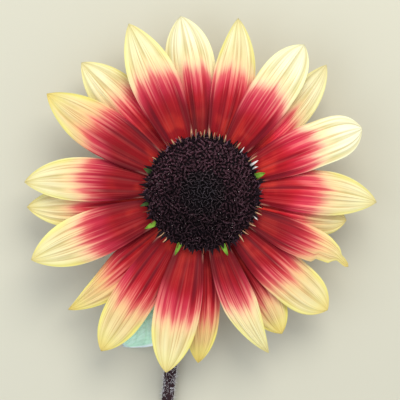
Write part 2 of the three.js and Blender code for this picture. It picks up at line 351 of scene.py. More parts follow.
petalFinish = {
    # millimetres past the edge of the red, the colour there, and the colour there on a golden petal
    "ramp": [
        (-26, (176, 28, 28), (170, 27, 26)), (-20, (158, 19, 28), (153, 19, 27)),
        (-13, (154, 18, 28), (148, 18, 27)), (-7, (174, 23, 36), (168, 24, 35)),
        (-3.5, (196, 50, 66), (192, 53, 59)), (-0.5, (222, 105, 106), (214, 102, 86)),
        (1.5, (241, 181, 152), (226, 151, 110)), (3.5, (245, 221, 172), (234, 181, 121)),
        (6.5, (239, 231, 176), (231, 193, 128)), (14, (236, 236, 178), (230, 203, 133)),
        (20, (234, 234, 172), (228, 200, 122)),
    ],
    # how much sooner the red ends at the margins and on ridges, and how far its edge swings with the veins
    "edgeLead": 3.6, "grooveLead": 1.6, "broadSwing": 2.8, "fineSwing": 2.5,
    "veins": 12.0, "veinStretch": 0.9, "blotchScale": 150.0, "foldSpread": 2.6, "foldSeed": 3.1,
    # least and greatest strength of the streaks, from red to golden petals, the gold that every tip has,
    # where a lemon tip starts and ends with its strength at each, and how dull a petal's back is
    "streakiness": (0.6, 1.3), "leastGold": 0.15, "lemonTip": (0.78, 0.93, 0.0, 0.55), "dullness": 0.55,
    # what each mask reads, where it rises or falls, and where a band falls again
    "masks": {
        "nearRoot": ("along", 0.42, 0.05), "inner": ("along", 0.55, 0.2), "rootEnd": ("along", 0.34, 0.14),
        "foot": ("along", 0.15, 0.06), "tip": ("along", 0.88, 1.0),
        "middle": ("side", 0.8, 0.3), "margin": ("side", 0.45, 0.95), "outside": ("side", 0.6, 1.0),
        "edge": ("side", 0.84, 0.96), "blotched": ("blotch", 0.45, 0.65),
        # where the painted shade of the folds lies, and where it doesn't
        "folded": ("wander", 0.38, 0.62), "lit": ("wander", 0.62, 0.38),
        "paleLine": ("fine", 0.55, 0.8), "darkLine": ("fine", 0.42, 0.15), "groove": ("ridge", 0.1, -0.75),
        "inRed": ("flatPast", -26.0, -18.0, -9.0, 0.0), "inPink": ("flatPast", -11.0, -5.0, -2.0, 3.0),
        "atEdge": ("flatPast", -9.0, -2.0, 1.0, 6.0), "inRose": ("flatPast", -3.0, 2.0, 5.0, 16.0),
        "inYellow": ("flatPast", 3.0, 8.0, 16.0, 26.0), "yellow": ("flatPast", 4.0, 9.0),
        "lemon": ("flatPast", 5.0, 10.0), "outOfRed": ("flatPast", -9.0, 3.0),
        # where the painted glare pales the yellow
        "bleached": ("past", 4.0, 14.0),
    },
    # what is laid over the ramp in turn: a colour, its strength, and the masks that it is held to
    # of these layers, the orange-red in the middle near the root and the pale lines on the root's margins are
    # painted highlights; the darker colours at the root, in the folds and in the pleats' grooves are painted
    # shade; the pale wash toward the tips is painted glare; the others are the petals' own colours
    "layers": [
        ("blush", 0.65, "nearRoot", "blotched", "middle"), ("rootShade", 0.75, "inner", "margin"),
        ("rootShade", "darkRoot", "rootEnd"), ("pinkPatch", 0.4, "lit", "inPink"),
        ("fold", 0.62, "groove", "folded", "inRed"), ("fold", 0.15, "groove", "inRed"),
        ("fold", 0.1, "darkLine", "inRed"), ("paleStreak", 0.04, "paleLine", "inRed"),
        ("paleTip", "pale", "bleached"), ("paleStreak", 0.38, "paleLine", "atEdge"),
        ("roseStreak", 0.34, "darkLine", "streaky", "inRose"), ("veinLine", 0.36, "darkLine", "inYellow"),
        ("pleatShade", 0.45, "groove", "yellow"), ("lemonEdge", 0.72, "fresh", "lemonPart", "lemon"),
        ("goldTip", 0.7, "tip", "goldness"), ("rootEdge", 0.55, "rootRim", "lit"),
    ],
    # among these colours, the root's orange-red and the pale pink of its margin lines are painted highlights,
    # the dark colours of the root, the folds and the pleats are painted shade, and the pale tip is painted
    # glare
    "blush": (212, 58, 44), "rootShade": (100, 12, 26), "pinkPatch": (206, 54, 84), "fold": (92, 12, 28),
    "paleStreak": (240, 150, 134), "paleTip": (255, 252, 222), "roseStreak": (184, 104, 78),
    "veinLine": (190, 160, 90), "pleatShade": (186, 170, 104), "lemonEdge": (240, 233, 112),
    "goldTip": (236, 204, 104), "rootEdge": (232, 168, 146), "underside": (214, 176, 112),
    "roughness": 0.5, "bump": 0.1, "mottleSize": 5.0, "mottle": 0.04,
}


def makePetalMaterial():
    look = petalFinish
    material, tree, shader = startMaterial("petalSkin", paint(200, 60, 50), look["roughness"])
    across, along, veins = readVeins(tree, look["veins"], look["veinStretch"])
    ridge, golden = readNumber(tree, "ridge"), readNumber(tree, "golden")
    side = maths(tree, "ABSOLUTE", maths(tree, "MULTIPLY_ADD", across, 2.0, -1.0))
    # how far past the red's edge a point is, first without the streaks and then with them
    flatPast = maths(tree, "SUBTRACT", readNumber(tree, "reach"), readNumber(tree, "redEdge"))
    flatPast = maths(tree, "MULTIPLY_ADD", maths(tree, "POWER", side, 2.0), look["edgeLead"], flatPast)
    past = flatPast
    for value, swing in ((veins["Broad"], look["broadSwing"]), (veins["Fine"], look["fineSwing"])):
        past = maths(tree, "MULTIPLY_ADD", maths(tree, "SUBTRACT", value, 0.5), swing, past)
    past = maths(tree, "MULTIPLY_ADD", ridge, look["grooveLead"], past)
    start, end = look["ramp"][0][0], look["ramp"][-1][0]
    position = wire(tree, "ShaderNodeMapRange", {"Value": past, 1: start, 2: end})
    ramps = []
    for column in (1, 2):
        stops = [((row[0] - start) / (end - start), paint(*row[column])) for row in look["ramp"]]
        ramps.append(colourRamp(tree, position, stops))
    colour = blendColours(tree, golden, *ramps)

    # the painted highlight's blotches run over all the petals, and the painted shade in the folds comes and
    # goes from petal to petal
    seed = maths(tree, "MULTIPLY", readNumber(tree, "seed"), look["foldSeed"])
    wander = noise(tree, vector(tree, maths(tree, "MULTIPLY", across, look["foldSpread"]), along, seed))
    read = {
        "along": along, "side": side, "ridge": ridge, "fine": veins["Fine"], "wander": wander,
        "blotch": noise(tree, objectPlace(tree), look["blotchScale"]), "past": past, "flatPast": flatPast,
    }
    masks = {key: readNumber(tree, key) for key in ("darkRoot", "pale", "tone", "under")}
    for key, (source, first, last, *fall) in look["masks"].items():
        masks[key] = spread(tree, read[source], first, last)
        if fall:
            masks[key] = maths(tree, "MULTIPLY", masks[key], spread(tree, read[source], *reversed(fall)))
    masks["rootRim"] = maths(tree, "MULTIPLY", masks["edge"], masks["foot"])
    # golden petals are streakier, and those with more painted glare show less gold at the tip
    masks["streaky"] = spread(tree, golden, 0.0, 1.0, *look["streakiness"])
    fresh = masks["fresh"] = maths(tree, "SUBTRACT", 1.0, masks["pale"])
    goldness = maths(tree, "MULTIPLY", fresh, maths(tree, "ADD", look["leastGold"], golden, clamp=True))
    lemonTip = maths(tree, "MULTIPLY", goldness, spread(tree, along, *look["lemonTip"]))
    masks["goldness"], masks["lemonPart"] = goldness, maths(tree, "MAXIMUM", masks["outside"], lemonTip)

    for key, strength, *names in look["layers"]:
        factor = masks.get(strength, strength)
        for name in names:
            factor = maths(tree, "MULTIPLY", factor, masks[name])
        colour = blendColours(tree, factor, colour, paint(*look[key]))
    # each petal's red is made lighter or darker by its own amount, partly the petal's own red and partly
    # painted light and shade, and its back is duller
    tone = wire(tree, "ShaderNodeMix", {0: masks["outOfRed"], 2: masks["tone"], 3: 1.0})
    dull = maths(tree, "MULTIPLY", look["dullness"], masks["under"])
    colour = blendColours(tree, dull, lighten(tree, colour, tone), paint(*look["underside"]))
    finishColour(tree, shader, colour, look["mottleSize"], look["mottle"])
    addBump(tree, shader, veins["Fine"], look["bump"])
    return material


# the petals

petalShape = {
    "rootDistance": 17.3, "bend": 1.6, "clawShare": 0.52, "widestAt": 0.54,
    "tipRound": 0.85, "tipHalfWidth": 0.15, "cup": 1.3, "droop": 3.0,
    "riseSway": 0.25, "droopSway": 0.8, "rollSway": 3.0, "edgeWave": 0.35, "waves": 9.0,
    "thickness": 0.3, "edgeThickness": 0.12, "alongSteps": 66, "acrossSteps": 54,
    # pleats: each kind's share of the height, how close they are, and which way they drift
    "pleatHeight": 0.25, "pleats": ((0.53, 3.1, 1), (0.33, 5.7, -1), (0.14, 8.6, 0)), "drift": 0.12,
    "keel": 0.34, "keelPlace": 0.36, "keelWidth": 0.08, "keelSway": 0.08,  # the two grooves beside the middle
    "rows": {"high": (20.7, 4.2), "low": (19.6, 3.0), "back": (18.1, 1.4)},  # root height and rise
}

# turn at the root and at the tip, reach, width, how blunt the tip is, row, how far the red reaches, how light
# the red is (partly the petal's own red, partly painted light and shade that lift the shaded back row and
# darken the high row), how deep the painted shade at its root is, how golden the yellow is and how much
# painted glare pales it
petalColumns = "rootTurn tipTurn reach width blunt row redEdge tone darkRoot golden pale".split()
petalTable = [
    (2, -3, 59.8, 15.3, 2.2, "low", 40.8, 1.3, 0, 0.4, 0.3),
    (24, 22, 58.6, 15.3, 5, "high", 40.8, 1.2, 0, 0.0, 0.8),
    (40, 46, 61.6, 12.4, 2.2, "back", 39.8, 1.65, 0.65, 0.4, 0.45),
    (55, 55.6, 61.3, 15.4, 3.4, "high", 40.8, 0.97, 0, 0.0, 0.6),
    (72.5, 78.5, 61, 14.4, 1.8, "low", 42.2, 1.06, 0, 0.3, 0.3),
    (94, 97, 61.6, 17.2, 2.8, "back", 41.9, 0.94, 0.6, 0.1, 0.65),
    (113, 113.5, 62.8, 16.5, 1.9, "high", 42.8, 0.86, 0, 0.3, 0.3),
    (131, 132.8, 61.4, 16.8, 2.2, "back", 42.3, 1.34, 0.45, 0.4, 0.4),
    (148.5, 147.5, 63, 16.3, 2.0, "high", 44.3, 0.8, 0, 0.8, 0.15),
    (171.5, 176.5, 61, 15, 2.3, "low", 41.8, 0.81, 0, 0.45, 0.3),
    (187, 184.5, 60.8, 15.2, 2.3, "back", 43.3, 1.22, 0, 0.5, 0.25),
    (200.5, 201.3, 62.6, 16.6, 2.3, "high", 42.6, 0.9, 0, 0.4, 0.2),
    (225, 221, 61.2, 13.2, 1.8, "back", 43.0, 1.1, 0, 0.95, 0.1),
    (236.5, 237.3, 64.4, 14.5, 3.1, "low", 45.4, 1.07, 0.2, 0.75, 0.1),
    (257.5, 258.5, 62.3, 15.6, 2.5, "high", 43.9, 1, 0.2, 0.5, 0.15),
    (271, 268.5, 58.6, 11.8, 2.7, "back", 43.3, 1.3, 0.4, 0.95, 0.0),
    (286.5, 292.5, 59, 11.8, 1.4, "high", 40.6, 0.84, 0.25, 0.3, 0.2),
    (300, 299.5, 55.6, 14.6, 3, "back", 42.3, 0.71, 0, 0.7, 0.0),
    (314, 317, 58.8, 15.6, 4, "low", 40.8, 0.97, 0.2, 0.7, 0.2),
    (334, 335.6, 55.6, 11.6, 3.4, "high", 41.3, 0.87, 0.3, 0.75, 0.15),
    (347, 349.3, 50.5, 13, 3.6, "back", 37.5, 1.92, 0, 0.6, 0.3),
]
petals = [dict(zip(petalColumns, row), index=index) for index, row in enumerate(petalTable)]
# a rolled tail: its share of the petal's length, how far it bends and its half width
petals[19]["tail"] = {"share": 0.09, "bend": -2.6, "halfWidth": (1.25, 0.75)}
# a narrower or torn side: its greatest half width at shares of the petal's length
petals[12]["narrowSide"] = [
    (0.0, 6.6), (0.4, 6.6), (0.48, 6.2), (0.56, 5.5), (0.66, 4.5), (0.8, 3.0), (1.0, 0.2),
]
petals[19]["narrowSide"] = [(0.0, 6.0), (0.67, 6.0), (0.7, 3.9), (0.85, 3.6), (0.895, 1.3), (1.0, 0.8)]


def petalHalfWidth(petal, t):
    shape, tail = petalShape, petal.get("tail")
    place = np.clip(t / (1 - tail["share"] if tail else 1), 0, 1)
    widest = shape["widestAt"]
    swelling = mix(shape["clawShare"], 1, np.sin(0.5 * math.pi * np.minimum(place / widest, 1)))
    closing = (1 - np.clip((place - widest) / (1 - widest), 0, 1) ** petal["blunt"]) ** shape["tipRound"]
    least = shape["tipHalfWidth"]
    if tail:
        least = mix(*tail["halfWidth"], smooth(1 - tail["share"], 1, t)) * np.clip((1 - t) * 50, 0.2, 1)
    return np.maximum(0.5 * petal["width"] * np.where(place < widest, swelling, closing), least)


def petalSurface(petal):
    shape, tail, index = petalShape, petal.get("tail"), petal["index"]
    rootHeight, rise = shape["rows"][petal["row"]]
    rise += shape["riseSway"] * sway(index, 0)
    droop = shape["droop"] + shape["droopSway"] * sway(index, 2)
    roll = math.radians(shape["rollSway"]) * sway(index, 4)

    def midline(t):
        turn = np.radians(mix(petal["rootTurn"], petal["tipTurn"], np.maximum(t, 0) ** shape["bend"]))
        if tail:
            turn += math.radians(tail["bend"]) * smooth(1 - 2 * tail["share"], 1.04, t)
        height = rootHeight + rise * (1 - (1 - t) ** 2) - droop * t ** 3
        return polar(turn, mix(shape["rootDistance"], petal["reach"], t), height)

    def surface(t, v):
        sideways = unit(leftOf(midline(t + 1e-3) - midline(t - 1e-3)))
        half = petalHalfWidth(petal, t)
        fullness = 2 * half / petal["width"]
        if "narrowSide" in petal:
            half = np.where(v < 0, np.minimum(half, np.interp(t, *zip(*petal["narrowSide"]))), half)
        place = midline(t) + sideways * (v * half)[..., None]
        wave = np.sin(shape["waves"] * t + 3 * sway(index, 1)) * np.clip(2 * t - 0.8, 0, 1)
        lift = v * half * math.sin(roll) * t - shape["cup"] * fullness ** 2 * v ** 2
        place[..., 2] += lift + shape["edgeWave"] * wave * np.abs(v) ** 3 * np.sign(v) * fullness
        return place
    return surface


def petalRidges(index, t, v):  # the pleats that run from root to tip, from -1 in a groove to 1 on a ridge
    drift = petalShape["drift"] * np.sin(3 * t + index)
    height = 0
    for i, (share, closeness, way) in enumerate(petalShape["pleats"], 1):
        height += share * np.cos(math.pi * (closeness * v + i * sway(index, 2 * i + 1) + way * drift))
    return height


def petalRelief(index):
    def relief(t, v):
        fromKeel = np.abs(v + petalShape["keelSway"] * sway(index, 6)) - petalShape["keelPlace"]
        keels = petalShape["keel"] * np.exp(-(fromKeel / petalShape["keelWidth"]) ** 2)
        fade = np.clip(t * 6, 0.3, 1) * np.clip((1 - t) * 5, 0, 1)
        return (petalShape["pleatHeight"] * petalRidges(index, t, v) - keels) * fade * (1 - 0.5 * v ** 4)
    return relief


def petalThickness(t, v):
    thinning = np.clip((1 - t) * 12 + 0.3, 0, 1)
    return mix(petalShape["thickness"], petalShape["edgeThickness"], v ** 4) * thinning


def makePetals(material):
    ts = 1 - (1 - np.linspace(0, 1, petalShape["alongSteps"] + 1)) ** 1.25  # closer together near the tip
    bow = 0.42 * math.pi  # and near the margins
    vs = np.sin(bow * np.linspace(-1, 1, petalShape["acrossSteps"] + 1)) / math.sin(bow)
    for petal in petals:
        index = petal["index"]
        built = makeBlade(petalSurface(petal), petalThickness, petalRelief(index), ts, vs)
        points, faces, uvs, numbers, t, v = built
        numbers.update(reach=np.hypot(points[:, 0], points[:, 1]), ridge=petalRidges(index, t, v))
        same = np.ones(len(points))
        for key in ("redEdge", "tone", "darkRoot", "golden", "pale"):
            numbers[key] = same * petal[key]
        numbers["seed"] = same * index
        piece = makePiece(f"petalBlade_{index + 1}", points, faces, [material], uvs=uvs, numbers=numbers)
        settle(piece, "petal", f"petal_{index + 1}")
    print("petals made:", len(petals))


makePetals(makePetalMaterial())


# the disc: a dark floor, florets on the golden angle, and scales round the rim

disc = {
    "radius": 20.0, "underside": 22.3, "rimHeight": 2.0, "domeHeight": 4.6, "flatness": 2.4,
    "floretHeight": 1.3,  # how far the florets stand above the floor between them
    # the floor's first and last ring as shares of the radius, and their number, then its edge and underside
    "floorRings": (0.04, 0.97, 30), "floorEdge": ((19.2, 0.2), (18.6, 0.0), (0.0, 0.0)), "floorSides": 96,
    "floretMargin": 0.6, "total": 930, "seed": 7, "lean": 0.5, "armTilt": 58.0,
    # how far a floret strays from its place and its lean, its least and greatest size, and how far up the
    # tube its arms are rooted
    "placeSway": 0.2, "leanSway": 0.12, "floretSizes": (0.7, 1.25), "armRoot": 0.96,
    # first floret, count, foot and mouth radius, height, and the two curled arms' radius, thickness and sweep
    "zones": {
        "buds": (0, 50, 0.56, 0.28, 1.0, 0.34, 0.05, 190.0),
        "youngFlorets": (50, 90, 0.58, 0.32, 1.05, 0.34, 0.05, 200.0),
        "openFlorets": (140, 680, 0.61, 0.38, 1.1, 0.33, 0.046, 235.0),
        "rimFlorets": (820, 110, 0.6, 0.36, 1.3, 0.36, 0.052, 210.0),
    },
    # count, ring radius, height, length, half width and lean
    "scaleRows": ((84, 18.8, 24.6, 2.8, 0.64, 1.25), (76, 18.1, 25.2, 2.4, 0.58, 0.8)),
    # how far a scale strays along its row, as a share of a step, and off its ring, the least and greatest
    # share of its lean, its least and greatest size, and its depth as a share of its width
    "scaleSway": (0.45, 0.5), "scaleLeans": (0.75, 1.25), "scaleSizes": (0.35, 1.35), "scaleDepth": 0.4,
    # colour, roughness, size of the mottling and its strength
    # the floor's and the tubes' near-black colours are partly their own, partly painted shade deepening the
    # gaps between florets
    "floorSkin": (paint(20, 13, 17), 0.9, 2.0, 0.3), "scaleSkin": (paint(32, 20, 26), 0.7, 1.0, 0.3),
    # the same for the tubes and the arms of each zone
    "zoneSkins": {
        "buds": ((paint(16, 13, 15), 0.6, 1.0, 0.3), (paint(95, 84, 91), 0.6, 1.0, 0.8)),
        "youngFlorets": ((paint(19, 13, 16), 0.6, 1.0, 0.3), (paint(98, 80, 86), 0.6, 1.0, 0.8)),
        "openFlorets": ((paint(38, 18, 24), 0.6, 1.8, 0.8), (paint(98, 71, 81), 0.6, 1.8, 1.1)),
        "rimFlorets": ((paint(42, 25, 32), 0.6, 1.8, 0.8), (paint(118, 86, 102), 0.6, 1.8, 1.1)),
    },
    # how much lighter tubes and arms are toward the rim, how much painted light and painted shade they take
    # on the disc's two sides, where the painted light's side and the rim's lightening lie, and the darkest
    # that they may get
    "skinGains": (0.6, 1.3), "armGains": (0.35, 0.5), "paintedLightTurn": 80.0, "lightRim": (0.5, 0.95),
    "darkest": 0.15,
}


def domeHeight(share):  # of the solid disc's face
    return disc["underside"] + disc["rimHeight"] + disc["domeHeight"] * (1 - share ** disc["flatness"])


# A closed solid of revolution, whose profile runs down from the axis and back to it.
def lathe(profile, sides):
    angles = np.linspace(0, 2 * math.pi, sides, endpoint=False)
    points = [(0, 0, profile[0][1])]
    for radius, height in profile[1:-1]:
        points += polar(angles, np.full(sides, float(radius)), height).tolist()
    points.append((0, 0, profile[-1][1]))
    faces = []
    last = 1 + (len(profile) - 3) * sides
    for j in range(sides):
        k = (j + 1) % sides
        faces.append((0, 1 + j, 1 + k))
        for a in range(1, last, sides):
            faces.append((a + j, a + sides + j, a + sides + k, a + k))
        faces.append((last + j, len(points) - 1, last + k))
    return points, faces


def makeDiscFloor():
    rings = np.linspace(*disc["floorRings"]) * disc["radius"]
    profile = [(r, domeHeight(r / disc["radius"]) - disc["floretHeight"]) for r in (0.0, *rings)]
    profile += [(r, disc["underside"] + rise) for r, rise in disc["floorEdge"]]
    points, faces = lathe(profile, disc["floorSides"])
    skin = makePlainSkin("discFloorSkin", disc["floorSkin"])
    settle(makePiece("discFloor", points, faces, [skin]), "disc", "disc")


def addChance(tree, given, offset, lowest, highest):  # a random number, or vector, for each point
    isVector = isinstance(lowest, tuple)
    first = 0 if isVector else 2
    inputs = {first: lowest, first + 1: highest, 8: maths(tree, "ADD", given["Seed"], offset)}
    made = node(tree, "FunctionNodeRandomValue", inputs, data_type="FLOAT_VECTOR" if isVector else "FLOAT")
    return made.outputs[0 if isVector else 1]


def addVectors(tree, a, b):
    return wire(tree, "ShaderNodeVectorMath", {0: a, 1: b}, operation="ADD")


def addRound(tree, across, up, distance, height):  # a vector this far out along a turn
    x, y = (maths(tree, "MULTIPLY", share, distance) for share in (across, up))
    return vector(tree, x, y, height)


def addPoints(tree, given, place):
    return wire(tree, "GeometryNodePoints", {"Count": given["Count"], "Position": place})


def addCone(tree, sides, top, bottom, length, segments=1):
    return wire(tree, "GeometryNodeMeshCone", {
        "Vertices": sides, "Side Segments": segments, "Depth": length,
        "Radius Top": top, "Radius Bottom": bottom,
    }, fill_type="NGON")


def addMove(tree, shape, **inputs):
    return wire(tree, "GeometryNodeTransform", {"Geometry": shape, **inputs})


def addMark(tree, shape, name, value, kind="FLOAT", domain="POINT"):
    inputs = {"Geometry": shape, "Name": name, "Value": value}
    return wire(tree, "GeometryNodeStoreNamedAttribute", inputs, data_type=kind, domain=domain)


def standUp(tree, heading):
    return wire(tree, "FunctionNodeAlignRotationToVector", {"Vector": heading}, axis="Z")


def setFinish(tree, shape, finish, **inputs):
    return wire(tree, "GeometryNodeSetMaterial", {"Geometry": shape, "Material": finish, **inputs})


def growOn(tree, points, shape, rotation, scale, finish):
    instances = wire(tree, "GeometryNodeInstanceOnPoints", {
        "Points": points, "Instance": shape, "Rotation": rotation, "Scale": scale,
    })
    return setFinish(tree, wire(tree, "GeometryNodeRealizeInstances", {0: instances}), finish)


def makeFloretTree():
    tree, given, result = startTree("GeometryNodeTree", "discFlorets", {
        "First": 0, "Count": 100, "Total": 900, "Centre": (0, 0, 0), "Disc Radius": 0.02,
        "Foot Height": 0.02, "Dome Height": 0.004, "Flatness": 2.4, "Foot Radius": 0.0005,
        "Mouth Radius": 0.0003, "Tube Height": 0.0017, "Arm Radius": 0.0003, "Arm Thickness": 0.00007,
        "Arm Sweep": 4.0, "Arm Tilt": 1.0, "Lean": 0.5, "Painted Light Turn": 1.4, "Seed": 1,
        "Tube Finish": "Material", "Arm Finish": "Material",
    }, {"Geometry": "Geometry"})
    order = maths(tree, "ADD", wire(tree, "GeometryNodeInputIndex"), given["First"])
    share = maths(tree, "SQRT", maths(tree, "DIVIDE", maths(tree, "ADD", order, 0.5), given["Total"]))
    turn = maths(tree, "MULTIPLY", order, math.pi * (3 - math.sqrt(5)))  # the golden angle
    across, up = maths(tree, "COSINE", turn), maths(tree, "SINE", turn)
    fall = maths(tree, "SUBTRACT", 1.0, maths(tree, "POWER", share, given["Flatness"]))
    height = maths(tree, "MULTIPLY_ADD", fall, given["Dome Height"], given["Foot Height"])
    place = addRound(tree, across, up, maths(tree, "MULTIPLY", share, given["Disc Radius"]), height)
    place = addVectors(tree, place, given["Centre"])
    stray, tilt = disc["placeSway"] * mm, disc["leanSway"]
    place = addVectors(tree, place, addChance(tree, given, 1, (-stray,) * 3, (stray,) * 3))
    # painted light and shade: florets on the side toward the light's turn are lighter, those across from it
    # darker
    facing = maths(tree, "COSINE", maths(tree, "SUBTRACT", turn, given["Painted Light Turn"]))
    points = addMark(tree, addPoints(tree, given, place), "outward", share)
    points = addMark(tree, points, "lightSide", maths(tree, "MULTIPLY", share, facing))

    lean = maths(tree, "MULTIPLY", maths(tree, "POWER", share, 3.0), given["Lean"])
    heading = addRound(tree, across, up, lean, 1.0)
    heading = addVectors(tree, heading, addChance(tree, given, 2, (-tilt, -tilt, 0.0), (tilt, tilt, 0.0)))
    spin = vector(tree, z=addChance(tree, given, 3, 0.0, 6.28))  # any way round
    turns = {0: standUp(tree, heading), 1: wire(tree, "FunctionNodeEulerToRotation", {0: spin})}
    rotation = wire(tree, "FunctionNodeRotateRotation", turns, rotation_space="LOCAL")

    tube = addCone(tree, 6, given["Mouth Radius"], given["Foot Radius"], given["Tube Height"])
    # each arm rises from the mouth, arches over and curls down beside it
    arc = wire(tree, "GeometryNodeCurveArc", {
        "Resolution": 5, "Radius": given["Arm Radius"], "Start Angle": math.pi,
        "Sweep Angle": maths(tree, "MULTIPLY", given["Arm Sweep"], -1.0),
    }, mode="RADIUS")
    inputs = {"Resolution": 3, "Radius": given["Arm Thickness"]}
    section = wire(tree, "GeometryNodeCurvePrimitiveCircle", inputs)
    arm = wire(tree, "GeometryNodeCurveToMesh", {"Curve": arc, "Profile Curve": section, "Fill Caps": True})
    arm = addMove(tree, arm, Translation=vector(tree, given["Arm Radius"]))
    arm = addMove(tree, arm, Rotation=vector(tree, given["Arm Tilt"]))
    mouth = vector(tree, z=maths(tree, "MULTIPLY", given["Tube Height"], disc["armRoot"]))
    arms = [addMove(tree, arm, Translation=mouth, Rotation=(0, 0, half)) for half in (0.0, math.pi)]
    arms = addMark(tree, wire(tree, "GeometryNodeJoinGeometry", {0: arms}), "arm", True, "BOOLEAN", "FACE")
    floret = wire(tree, "GeometryNodeJoinGeometry", {0: [arms, tube]})
    size = addChance(tree, given, 4, *disc["floretSizes"])
    finished = growOn(tree, points, floret, rotation, size, given["Tube Finish"])
    isArm = wire(tree, "GeometryNodeInputNamedAttribute", {"Name": "arm"}, data_type="BOOLEAN")
    tree.links.new(setFinish(tree, finished, given["Arm Finish"], Selection=isArm), result["Geometry"])
    return tree


def makeFlorets():
    def lighter(gains):  # a finish that lightens toward the disc's rim, with painted light on one side of the disc and painted shade on the other
        def shade(tree, colour):
            value = spread(tree, readNumber(tree, "outward"), *disc["lightRim"])
            value = maths(tree, "MULTIPLY_ADD", value, gains[0], 1.0)
            value = maths(tree, "MULTIPLY_ADD", readNumber(tree, "lightSide"), gains[1], value)
            return lighten(tree, colour, maths(tree, "MAXIMUM", value, disc["darkest"]))
        return shade

    tree = makeFloretTree()
    made = {}
    for name, (first, count, foot, mouth, height, arm, thickness, sweep) in disc["zones"].items():
        tubeLook, armLook = disc["zoneSkins"][name]
        values = {
            "First": first, "Count": count, "Total": disc["total"], "Centre": bloomAxis.tolist(),
            "Disc Radius": (disc["radius"] - disc["floretMargin"]) * mm,
            "Foot Height": (disc["underside"] + disc["rimHeight"] - disc["floretHeight"]) * mm,
            "Dome Height": disc["domeHeight"] * mm, "Flatness": disc["flatness"],
            "Foot Radius": foot * mm, "Mouth Radius": mouth * mm, "Tube Height": height * mm,
            "Arm Radius": arm * mm, "Arm Thickness": thickness * mm, "Arm Sweep": math.radians(sweep),
            "Arm Tilt": math.radians(disc["armTilt"]), "Lean": disc["lean"],
            "Painted Light Turn": math.radians(disc["paintedLightTurn"]), "Seed": disc["seed"],
            "Tube Finish": makePlainSkin(name + "Skin", tubeLook, lighter(disc["skinGains"])),
            "Arm Finish": makePlainSkin(name + "ArmSkin", armLook, lighter(disc["armGains"])),
        }
        made[name] = settle(grow(name, tree, values), "disc")
    return made


def makeScaleTree():
    tree, given, result = startTree("GeometryNodeTree", "rimScales", {
        "Count": 60, "Centre": (0, 0, 0), "Ring Radius": 0.019, "Height": 0.024, "Length": 0.003,
        "Half Width": 0.0008, "Lean": 1.0, "Seed": 1, "Finish": "Material",
    }, {"Geometry": "Geometry"})
    step, stray = disc["scaleSway"][0], disc["scaleSway"][1] * mm
    order = maths(tree, "ADD", wire(tree, "GeometryNodeInputIndex"), addChance(tree, given, 1, -step, step))
    turn = maths(tree, "MULTIPLY", maths(tree, "DIVIDE", order, given["Count"]), 2 * math.pi)
    across, up = maths(tree, "COSINE", turn), maths(tree, "SINE", turn)
    radius = maths(tree, "ADD", given["Ring Radius"], addChance(tree, given, 2, -stray, stray))
    place = addVectors(tree, addRound(tree, across, up, radius, given["Height"]), given["Centre"])
    lean = maths(tree, "MULTIPLY", given["Lean"], addChance(tree, given, 3, *disc["scaleLeans"]))
    rotation = wire(tree, "FunctionNodeAxesToRotation", {
        0: addRound(tree, across, up, lean, 1.0), 1: vector(tree, maths(tree, "MULTIPLY", up, -1.0), across),
    }, primary_axis="Z", secondary_axis="X")
    scale = addCone(tree, 6, 0.0, given["Half Width"], given["Length"], 3)
    scale = addMove(tree, scale, Scale=(1, disc["scaleDepth"], 1))
    size = addChance(tree, given, 4, *disc["scaleSizes"])
    finished = growOn(tree, addPoints(tree, given, place), scale, rotation, size, given["Finish"])
    tree.links.new(finished, result["Geometry"])
    return tree


def makeRimScales():
    tree = makeScaleTree()
    skin = makePlainSkin("rimScaleSkin", disc["scaleSkin"])
    for row, (count, radius, height, length, halfWidth, lean) in enumerate(disc["scaleRows"]):
        values = {
            "Count": count, "Centre": bloomAxis.tolist(), "Ring Radius": radius * mm, "Height": height * mm,
            "Length": length * mm, "Half Width": halfWidth * mm, "Lean": lean,
            "Seed": disc["seed"] + 10 * row, "Finish": skin,
        }
        settle(grow(f"rimScales_{row + 1}", tree, values), "disc")


# the chaff tips that show past the rim

